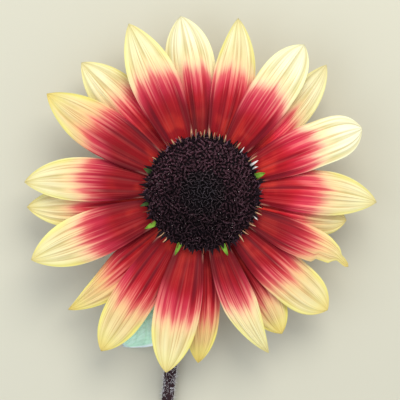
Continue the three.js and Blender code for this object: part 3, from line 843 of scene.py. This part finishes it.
chaff = {
    "rootDistance": 18.6, "rootHeight": 24.6, "arch": 2.3, "thickness": 0.12, "cup": 0.5,
    "sideSway": 0.4, "twistSway": 0.1, "taper": 2.2, "alongSteps": 10, "acrossSteps": 6,
    "skins": {
        "greenTip": (paint(118, 158, 56), 0.5, 1.5, 0.25), "darkTip": (paint(62, 84, 44), 0.5, 1.5, 0.25),
        "dryTip": (paint(200, 160, 122), 0.6, 1.5, 0.2), "tanTip": (paint(122, 66, 48), 0.6, 1.5, 0.4),
        "paleTip": (paint(232, 226, 220), 0.6, 1.5, 0.1),
    },
    # each one's turn, reach from the axis, half width and finish; its number in the list sets how it sways
    "tips": [
        (17.5, 22.2, 0.95, "greenTip"), (158, 21.6, 0.8, "darkTip"), (191, 21.6, 0.6, "darkTip"),
        (212.5, 22.9, 0.9, "greenTip"), (246, 23.0, 0.75, "greenTip"), (291.5, 22.8, 0.85, "greenTip"),
        (101, 21.9, 0.19, "dryTip"), (83, 21.9, 0.19, "dryTip"), (53, 21.4, 0.22, "dryTip"),
        (340, 21.4, 0.19, "dryTip"), (327, 21.3, 0.19, "dryTip"), (311, 21.6, 0.2, "dryTip"),
        (30, 21.8, 0.4, "paleTip"), (120, 21.0, 0.24, "dryTip"), (232, 21.4, 0.22, "dryTip"),
        (67, 21.2, 0.21, "dryTip"), (26, 20.7, 0.3, "paleTip"), (34.5, 22.3, 0.18, "dryTip"),
        (47, 21.0, 0.17, "paleTip"), (335, 20.8, 0.22, "paleTip"), (73, 20.7, 0.12, "dryTip"),
        (78.5, 20.9, 0.12, "dryTip"), (88.5, 21.4, 0.12, "dryTip"), (91, 20.8, 0.12, "dryTip"),
        (96.5, 21.7, 0.11, "dryTip"), (113, 20.8, 0.13, "dryTip"), (144, 20.9, 0.13, "dryTip"),
        (226, 21.3, 0.13, "dryTip"), (317, 21.0, 0.14, "dryTip"), (346, 20.7, 0.12, "dryTip"),
    ],
}
for i in range(24):  # finer ones stand all round
    chaff["tips"].append((15 * i + 5 * sway(i, 1), 20.9 + 0.4 * sway(i, 2), 0.13, "tanTip"))


def chaffSurface(number, turn, reach, halfWidth):
    side = leftOf(towards(turn))

    def surface(t, v):
        height = chaff["rootHeight"] + chaff["arch"] * np.sin(math.pi * 0.75 * t)
        middle = polar(turn + 0 * t, mix(chaff["rootDistance"], reach, t), height)
        aside = v * halfWidth * np.clip(1 - np.abs(t) ** chaff["taper"], 0.03, 1)
        middle += side * (aside + chaff["sideSway"] * sway(number, 3) * t ** 2)[..., None]
        middle[..., 2] += chaff["cup"] * halfWidth * v ** 2 + chaff["twistSway"] * sway(number, 1) * v
        return middle
    return surface


def makeChaffTips():
    keys = list(chaff["skins"])
    materials = [makePlainSkin(key + "Skin", chaff["skins"][key]) for key in keys]
    points, faces, slots = [], [], []
    ts, vs = evenSteps(chaff)
    for number, (turn, reach, halfWidth, key) in enumerate(chaff["tips"]):
        surface = chaffSurface(number, math.radians(turn), reach, halfWidth)
        built = makeBlade(surface, lambda t, v: chaff["thickness"] + 0 * t, lambda t, v: 0 * t, ts, vs)
        faces += (built[1] + len(points)).tolist()
        slots += [keys.index(key)] * len(built[1])
        points += built[0].tolist()
    settle(makePiece("chaffTips", points, faces, materials, faceMaterials=slots), "bract")


makeDiscFloor()
floretPieces = makeFlorets()
makeRimScales()
makeChaffTips()
print("disc made")


# the green parts: receptacle, bracts, neck, stem and leaf, with their hairs

# Two greens along the veins, with other colours on the ribs and the rim.
def makeGreenMaterial(name, look, veinStretch=2.0, mottle=0.12):
    material, tree, shader = startMaterial(name, look["colour"], look["roughness"])
    _, _, veins = readVeins(tree, look["veins"], veinStretch)
    colour = blendColours(tree, veins["Broad"], look["colour"], look["second"])
    colour = blendColours(tree, readNumber(tree, "vein"), colour, look["veinColour"])
    colour = blendColours(tree, readNumber(tree, "rim"), colour, look["rimColour"])
    height = finishColour(tree, shader, colour, look["mottleSize"], mottle)
    addBump(tree, shader, maths(tree, "ADD", veins["Fine"], height), look["bump"])
    return material


receptacle = {
    "profile": [
        (0, 23.6), (12, 23.4), (17.2, 22.4), (17.6, 20.5), (17.4, 18.5), (16.9, 17.0), (16, 15.8),
        (14.6, 14.8), (12.5, 13.8), (10, 13.1), (7, 12.6), (4, 12.3), (0, 12.2),
    ],
    "sides": 136, "ribs": 34, "ribHeight": 0.12, "ribbedRadius": 17,
    "skin": (paint(110, 142, 74), 0.6, 2.5, 0.25),
}


def makeReceptacle():
    points, faces = lathe(receptacle["profile"], receptacle["sides"])
    points = np.array(points)
    turn = np.arctan2(points[:, 1], points[:, 0])
    ribs = receptacle["ribHeight"] / receptacle["ribbedRadius"] * np.cos(receptacle["ribs"] * turn)
    points[:, :2] *= 1 + ribs[:, None]
    skin = makePlainSkin("receptacleSkin", receptacle["skin"])
    return settle(makePiece("receptacleBody", points, faces, [skin]), "bract", "receptacle")


bracts = {
    # a curve is the root, the corner that it bends round and the tip, each by its distance out and height
    "rows": {
        "outer": {
            "count": 9, "turn": 257.0, "width": 8.0, "keel": 0.8,
            "curve": [(15.4, 14.2), (25.5, 12), (29, 0.4)],
        },
        "inner": {
            "count": 12, "turn": 0.0, "width": 8.4, "keel": 0.5,
            "curve": [(16.9, 15.9), (27, 17), (38, 13)],
        },
    },
    "rootShare": 0.62, "widestAt": 0.3, "tipHalfWidth": 0.12, "thickness": 0.5, "ribHeight": 0.12,
    # the middle rib's width, how strong the two beside it are and where they run, as shares of the half width
    "ribWidth": 0.07, "besideRib": (0.6, 0.45), "curl": 0.5,
    "rim": (0.85, 0.15, 0.7),  # where the pale rim starts, its width and its strength
    "alongSteps": 40, "acrossSteps": 28,
    "skin": {
        "colour": paint(98, 132, 66), "second": paint(78, 112, 54), "veinColour": paint(140, 168, 104),
        "rimColour": paint(150, 168, 120), "roughness": 0.6, "veins": 7.0, "mottleSize": 2.0, "bump": 0.12,
    },
}


def bractSurface(look, turn):
    heading = towards(turn)
    curve = [(distance, 0, height) for distance, height in look["curve"]]

    def halfWidth(t):
        widest = bracts["widestAt"]
        opening = mix(bracts["rootShare"], 1, np.sin(0.5 * math.pi * np.clip(t / widest, 0, 1)))
        closing = (0.5 + 0.5 * np.cos(math.pi * np.clip((t - widest) / (1 - widest), 0, 1))) ** 0.85
        half = 0.5 * look["width"] * np.where(t < widest, opening, closing)
        return np.maximum(half, bracts["tipHalfWidth"])

    def surface(t, v):
        place, onward = bezier(curve, t)
        half = halfWidth(t)
        lift = look["keel"] * v ** 2 * 2 * half / look["width"]
        distance = place[..., 0] - onward[..., 2] * lift
        height = place[..., 2] + onward[..., 0] * lift
        level = distance[..., None] * heading + (v * half)[..., None] * leftOf(heading)
        return level + height[..., None] * [0, 0, 1]
    return surface


def bractRib(t, v):  # 1 on the middle rib, and less on the two beside it
    strength, aside = bracts["besideRib"]
    middle = np.exp(-(v / bracts["ribWidth"]) ** 2)
    beside = strength * np.exp(-((np.abs(v) - aside) / bracts["ribWidth"]) ** 2)
    return (middle + beside) * np.clip((1 - t) * 4, 0, 1)


def bractRelief(number):
    def relief(t, v):
        ripple = v ** 3 * np.sin(5 * t + 3 * sway(number, 2)) * np.clip(t * 2, 0, 1) * (1 - t)
        return bracts["ribHeight"] * bractRib(t, v) + bracts["curl"] * ripple
    return relief


def bractThickness(t, v):
    return bracts["thickness"] * (1 - 0.6 * v ** 2) * np.clip((1 - t) * 8 + 0.2, 0, 1)


def makeBracts():
    skin = makeGreenMaterial("bractSkin", bracts["skin"])
    ts, vs = evenSteps(bracts)
    rimStart, rimWidth, rimStrength = bracts["rim"]
    made = []
    for row, look in bracts["rows"].items():
        for i in range(look["count"]):
            surface = bractSurface(look, math.radians(look["turn"] + 360 * (i + 0.5) / look["count"]))
            points, faces, uvs, numbers, t, v = makeBlade(surface, bractThickness, bractRelief(i), ts, vs)
            if row == "outer":  # its tip rests on the ground
                points[:, 2] -= points[:, 2].min()
            rim = np.clip((np.abs(v) - rimStart) / rimWidth, 0, 1) ** 2 * rimStrength
            numbers.update(vein=0.8 * bractRib(t, v), rim=rim, seed=np.full(len(t), i + 20.0))
            piece = makePiece(f"{row}Bract_{i + 1}", points, faces, [skin], uvs=uvs, numbers=numbers)
            made.append(settle(piece, "bract", f"{row}_bract_{i + 1}"))
    return made


stalk = {
    "top": 12.3, "neckRadius": (4.2, 2.4), "cutRadius": 2.0, "heading": 257.0, "cornerReach": 52.0,
    "cutY": -112.0,
    "restShare": math.cos(math.pi / 12),  # the solid stem has twelve sides and rests on a flat one
    "collar": (1.4, 0.8),  # how far the neck goes up into the receptacle, and how much wider it is there
    "stemGap": 0.6, "neckTaper": 0.7, "neckSteps": 24, "stemSteps": 110, "sides": 40,
    "cutRings": (0.86, 0.55, 0.25), "skinShare": 0.985, "ridges": 9, "ridgeHeight": 0.09, "ridgeTwist": 0.03,
    "knotHeight": 0.05, "knotWaves": (0.9, 0.37), "knotSides": 3,
    "skin": {
        "colour": paint(84, 58, 60), "pith": paint(196, 198, 160), "roughness": 0.6, "bump": 0.3,
        "streaks": (paint(32, 20, 26), paint(72, 50, 54)), "streakScale": 3.0, "streakLength": 0.12,
        "mottleSize": 1.5, "mottle": 0.2,
    },
}


def neckBend():  # radius of the neck's bend
    return stalk["top"] - stalk["neckRadius"][1] * stalk["restShare"]


def stemCurve(gap):  # the stem's line on the ground, from this far past the neck to the cut
    away = towards(math.radians(stalk["heading"]))
    start = away * (neckBend() + gap)
    corner = start + away * stalk["cornerReach"]
    return start, corner, (corner[0], stalk["cutY"], 0)


def stalkPath():  # centre and radius along the neck and the stem
    neckTop, neckFoot = stalk["neckRadius"]
    bend, turn = neckBend(), np.linspace(0, 0.5 * math.pi, stalk["neckSteps"])
    height = stalk["top"] - bend * np.sin(turn)
    neck = polar(math.radians(stalk["heading"]), bend * (1 - np.cos(turn)), height)
    share = np.linspace(0, 1, stalk["stemSteps"])
    stem = bezier(stemCurve(stalk["stemGap"]), share)[0]
    stemRadius = mix(neckFoot, stalk["cutRadius"], share)
    stem[:, 2] = stemRadius * stalk["restShare"]
    rise, flare = stalk["collar"]
    taper = np.sin(turn) ** stalk["neckTaper"]
    centre = np.concatenate([[neck[0] + [0, 0, rise]], neck, stem])
    radius = np.concatenate([[neckTop + flare], mix(neckTop, neckFoot, taper), stemRadius])
    return centre, radius


def makeStalk():
    centre, radius = stalkPath()
    passed = np.concatenate([[0], np.cumsum(np.linalg.norm(np.diff(centre, axis=0), axis=1))])
    sides, ridgeHeight, (quick, slow) = stalk["sides"], stalk["ridgeHeight"], stalk["knotWaves"]
    angle = np.linspace(0, 2 * math.pi, sides, endpoint=False)
    side = towards(math.radians(stalk["heading"] - 90))
    rings, sleeve = [], []  # sleeve is a place round and along the stalk, which its streaks follow
    for place, way, size, gone in zip(centre, unit(np.gradient(centre, axis=0)), radius, passed):
        side = unit(side - way * side.dot(way))
        ridges = ridgeHeight * np.cos(stalk["ridges"] * angle + stalk["ridgeTwist"] * gone)
        knots = stalk["knotHeight"] * np.sin(quick * gone + stalk["knotSides"] * angle) * np.sin(slow * gone)
        spoke = size * stalk["skinShare"] + ridges - ridgeHeight + knots
        ring = place + (np.cos(angle) * spoke)[:, None] * side
        ring += (np.sin(angle) * spoke)[:, None] * np.cross(side, way)
        ring[:, 2] = np.maximum(ring[:, 2], 0.02)  # just clear of the ground
        rings.append(ring)
        further = np.full(sides, stalk["skin"]["streakLength"] * gone)
        sleeve.append(np.stack([np.cos(angle), np.sin(angle), further], axis=-1))
    cut = rings[-1]
    cut[:, 1] = stalk["cutY"]
    rings += [cut.mean(0) + (cut - cut.mean(0)) * share for share in stalk["cutRings"]]
    sleeve += [sleeve[-1]] * len(stalk["cutRings"])
    points = np.concatenate([*rings, [rings[0].mean(0), rings[-1].mean(0)]])
    pith = np.zeros(len(points))
    pith[-2 - 2 * sides:] = 1
    top, end = len(points) - 2, len(points) - 1
    last = top - sides
    faces = []
    for j in range(sides):
        k = (j + 1) % sides
        faces.append((top, j, k))
        for a in range(0, last, sides):
            faces.append((a + j, a + sides + j, a + sides + k, a + k))
        faces.append((end, last + k, last + j))
    numbers = {"sleeve": np.concatenate([*sleeve, np.zeros((2, 3))]), "pith": pith}
    piece = makePiece("stalk", points, faces, [makeStalkMaterial()], numbers=numbers)
    return settle(piece, "stem", "neck", "stem")


def makeStalkMaterial():
    look = stalk["skin"]
    material, tree, shader = startMaterial("stalkSkin", look["colour"], look["roughness"])
    sleeve = node(tree, "ShaderNodeAttribute", attribute_name="sleeve").outputs["Vector"]
    streaks = noise(tree, sleeve, look["streakScale"], 4.0)
    colour = blendColours(tree, streaks, *look["streaks"])
    colour = blendColours(tree, readNumber(tree, "pith"), colour, look["pith"])
    finishColour(tree, shader, colour, look["mottleSize"], look["mottle"])
    addBump(tree, shader, streaks, look["bump"])
    return material


leaf = {
    # where it leaves the stem, as a share of the stem's length, and where its tip is
    "share": 0.17, "neckGap": 0.3, "tip": (-28.3, -54.8),
    "halfWidth": 10.5, "widestAt": 0.45, "rootHeight": 3.4, "tipHeight": 0.4, "arch": 4.2, "fold": 1.6,
    "thickness": 0.4, "veinDepth": 0.25, "veinWidth": 0.35, "sideVeins": (0.16, 0.3, 0.44, 0.58, 0.72),
    "sideVeinReach": 0.3, "sideVeinWidth": 0.012, "sideVeinStrength": 0.8,
    "netHeight": 0.08, "stalkShare": 0.12, "stalkHalfWidth": 0.9, "stalkThickness": 1.3, "stalkEnd": 0.14,
    "alongSteps": 120, "acrossSteps": 60,
    # the leaf's colours are partly its own mint green and partly painted light that lifts it out of the
    # petals' shadow
    "skin": {
        "colour": paint(212, 253, 232), "second": paint(200, 248, 220), "veinColour": paint(186, 238, 206),
        "rimColour": paint(236, 252, 255), "roughness": 0.55, "veins": 9.0, "mottleSize": 3.0, "bump": 0.2,
    },
}


def makeLeaf():
    bare, widest = leaf["stalkShare"], leaf["widestAt"]
    root, onward = bezier(stemCurve(leaf["neckGap"]), leaf["share"])
    out = np.array([*leaf["tip"], 0.0]) - root
    length = np.linalg.norm(out)
    out /= length
    slant = math.acos(float(np.dot(onward, out)))
    stemRadius = mix(stalk["neckRadius"][1], stalk["cutRadius"], leaf["share"])
    first = (stemRadius - 0.4) / math.sin(slant)  # its stalk starts just inside the stem's skin

    def halfWidth(t):
        place = np.clip((t - bare) / (1 - bare), 0, 1)
        opening = np.sin(0.5 * math.pi * np.minimum(place / widest, 1)) ** 0.8
        closing = 1 - (np.clip(place - widest, 0, 1) / (1 - widest)) ** 2
        half = leaf["halfWidth"] * np.where(place < widest, opening, closing)
        return np.maximum(half, leaf["stalkHalfWidth"] * (1 - 0.6 * t) * np.clip((1 - t) * 10 + 0.1, 0, 1))

    def surface(t, v):
        half, held = halfWidth(t), np.clip(t, 0, 1)
        height = mix(leaf["rootHeight"], leaf["tipHeight"], t) + leaf["arch"] * np.sin(math.pi * held) ** 1.2
        height = np.minimum(height, stemRadius * 1.4 + 90 * held)  # it leaves low on the stem
        height += leaf["fold"] * np.abs(v) * half / leaf["halfWidth"]
        level = root * [1, 1, 0] + mix(first, length, t)[..., None] * out
        return level + (v * half)[..., None] * leftOf(out) + height[..., None] * [0, 0, 1]

    def veins(t, v):
        middle = np.exp(-(v * halfWidth(t) / leaf["veinWidth"]) ** 2)
        beside = 0
        for spring in leaf["sideVeins"]:
            course = spring + leaf["sideVeinReach"] * np.abs(v) ** 0.9
            beside = np.maximum(beside, np.exp(-((t - course) / leaf["sideVeinWidth"]) ** 2))
        return np.maximum(middle, leaf["sideVeinStrength"] * beside * (t > bare))

    def relief(t, v):
        net = leaf["netHeight"] * np.sin(38 * t + 5 * v) * np.sin(24 * v + 7 * t)
        fade = np.clip((t - 0.08) * 6, 0, 1) * np.clip((1 - t) * 6, 0, 1)
        return (net - leaf["veinDepth"] * veins(t, v)) * fade

    def thickness(t, v):
        blade = leaf["thickness"] * (1 - 0.5 * v ** 2)
        rod = leaf["stalkThickness"] * np.sqrt(1.02 - v ** 2)
        return mix(blade, rod, np.clip(1 - t / leaf["stalkEnd"], 0, 1))

    ts, vs = evenSteps(leaf)
    points, faces, uvs, numbers, t, v = makeBlade(surface, thickness, relief, ts, vs)
    points[:, 2] = np.maximum(points[:, 2], 0.03)  # just clear of the ground
    rim = smooth(0.8, 0.93, np.abs(v)) * smooth(leaf["stalkEnd"], 0.25, t) + smooth(0.93, 1, t)
    numbers.update(vein=0.7 * veins(t, v), rim=np.clip(rim, 0, 1), seed=np.full(len(t), 41.0))
    skin = makeGreenMaterial("leafSkin", leaf["skin"])
    settle(makePiece("leafBlade", points, faces, [skin], uvs=uvs, numbers=numbers), "leaf", "leaf")


hairs = {
    "skins": {
        "hairSkin": (paint(240, 238, 242), 0.5, 1.0, 0.05),
        "pollenSkin": (paint(196, 180, 178), 0.6, 1.0, 0.2),
    },
    "groundGap": 0.1, "seed": 3, "sizes": (0.4, 1.2),  # a hair has between these shares of the sizes below
    # how many stand on a square metre, length, thickness, how far they stray from upright, finish and slot
    "kinds": {
        "stalkHairs": (1.9e6, 1.8, 0.085, 1.0, "hairSkin", "stem"),
        "bractHairs": (0.35e6, 0.8, 0.035, 0.5, "hairSkin", "bract"),
        "pollenGrains": (6e4, 0.2, 0.17, 0.2, "pollenSkin", "disc"),
    },
}


def makeHairTree():
    tree, given, result = startTree("GeometryNodeTree", "hairs", {
        "Surface": "Geometry", "Density": 1e6, "Length": 0.001, "Thickness": 0.00005, "Spread": 0.5,
        "Ground Gap": 0.0001, "Seed": 1, "Finish": "Material",
    }, {"Geometry": "Geometry"})
    scattered = node(tree, "GeometryNodeDistributePointsOnFaces", {
        "Mesh": given["Surface"], "Density": given["Density"], "Seed": given["Seed"],
    }).outputs
    wander = addChance(tree, given, 1, (-1.0,) * 3, (1.0,) * 3)
    wander = wire(tree, "ShaderNodeVectorMath", {0: wander, "Scale": given["Spread"]}, operation="SCALE")
    heading = addVectors(tree, scattered["Normal"], wander)
    heading = wire(tree, "ShaderNodeVectorMath", {0: heading}, operation="NORMALIZE")
    # a hair that would reach into the ground is left out
    foot = splitVector(tree, wire(tree, "GeometryNodeInputPosition"))[2]
    longest = maths(tree, "MULTIPLY", given["Length"], hairs["sizes"][1])
    tip = maths(tree, "MULTIPLY_ADD", splitVector(tree, heading)[2], longest, foot)
    sunk = maths(tree, "LESS_THAN", maths(tree, "MINIMUM", tip, foot), given["Ground Gap"])
    inputs = {"Geometry": scattered["Points"], "Selection": sunk}
    points = wire(tree, "GeometryNodeDeleteGeometry", inputs, domain="POINT")
    hair = addCone(tree, 3, 0.0, given["Thickness"], given["Length"])
    size = addChance(tree, given, 2, *hairs["sizes"])
    finished = growOn(tree, points, hair, standUp(tree, heading), size, given["Finish"])
    tree.links.new(finished, result["Geometry"])
    return tree


def joinMeshes(pieces):  # one mesh with the faces of them all, for hairs to grow on
    points, faces = [], []
    for piece in pieces:
        faces += [[corner + len(points) for corner in face.vertices] for face in piece.data.polygons]
        points += [vertex.co[:] for vertex in piece.data.vertices]
    mesh = bpy.data.meshes.new("hairGround")
    mesh.from_pydata(points, [], faces)
    return mesh


def makeHairs(grounds):
    tree = makeHairTree()
    skins = {name: makePlainSkin(name, look) for name, look in hairs["skins"].items()}
    for name, (density, length, thickness, stray, skin, slot) in hairs["kinds"].items():
        values = {
            "Density": density, "Length": length * mm, "Thickness": thickness * mm, "Spread": stray,
            "Ground Gap": hairs["groundGap"] * mm, "Seed": hairs["seed"], "Finish": skins[skin],
        }
        settle(grow(name, tree, values, grounds[name]), slot)


receptaclePiece = makeReceptacle()
bractPieces = makeBracts()
stalkPiece = makeStalk()
makeLeaf()
makeHairs({
    "stalkHairs": stalkPiece.data, "bractHairs": joinMeshes([receptaclePiece, *bractPieces]),
    "pollenGrains": floretPieces["openFlorets"].data,
})
print("green parts made")


# floor, light and camera

stage = {
    "floorColour": paint(208, 206, 188), "floorRoughness": 0.9, "floorSize": 3000.0,
    # the camera's height above the disc's face, and the width that the frame has there
    "cameraHeight": 450.0, "discFace": 24.3, "frameWidth": 135.6,
    "photoSize": 400.0, "discCentrePixel": (202.5, 193.0),
    "skyColour": paint(240, 243, 248), "sky": 0.75, "aim": (0, 0, 20),
    "lamps": {
        "keyLight": {"place": (110, 300, 460), "size": 360, "power": 1.82, "colour": paint(255, 250, 240)},
        "fillLight": {"place": (-320, -120, 420), "size": 500, "power": 0.75, "colour": paint(236, 242, 255)},
    },
}


def makeStage():
    half = 0.5 * stage["floorSize"]
    floorMaterial, _, _ = startMaterial("floorPaint", stage["floorColour"], stage["floorRoughness"])
    corners = [(-half, -half, 0), (half, -half, 0), (half, half, 0), (-half, half, 0)]
    floor = makePiece("floor", corners, [(0, 1, 2, 3)], [floorMaterial])
    world = bpy.data.worlds.new("softSky")
    bpy.context.scene.world = world
    world.use_nodes = True
    background = world.node_tree.nodes["Background"]
    background.inputs[0].default_value = stage["skyColour"]
    background.inputs[1].default_value = stage["sky"]
    for name, lamp in stage["lamps"].items():
        data = bpy.data.lights.new(name, "AREA")
        data.shape = "DISK"
        data.size = lamp["size"] * mm
        data.energy = lamp["power"]
        data.color = lamp["colour"][:3]
        light = bpy.data.objects.new(name, data)
        light.location = toFrame(lamp["place"])[0]
        aim = Vector(toFrame(stage["aim"])[0]) - light.location
        light.rotation_euler = aim.to_track_quat("-Z", "Y").to_euler()
        bpy.context.scene.collection.objects.link(light)


def makeCamera():
    camera = bpy.data.objects.new("camera", bpy.data.cameras.new("camera"))
    camera.data.sensor_fit = "HORIZONTAL"
    camera.data.angle = 2 * math.atan(0.5 * stage["frameWidth"] / stage["cameraHeight"])
    perPixel = stage["frameWidth"] / stage["photoSize"]
    right = stage["discCentrePixel"][0] - 0.5 * stage["photoSize"]
    up = 0.5 * stage["photoSize"] - stage["discCentrePixel"][1]
    height = stage["discFace"] + stage["cameraHeight"]
    camera.location = toFrame((-right * perPixel, -up * perPixel, height))[0]
    bpy.context.scene.collection.objects.link(camera)
    bpy.context.scene.camera = camera
    bpy.context.scene.view_settings.view_transform = "Standard"


makeStage()
makeCamera()
print("floor, light and camera placed")
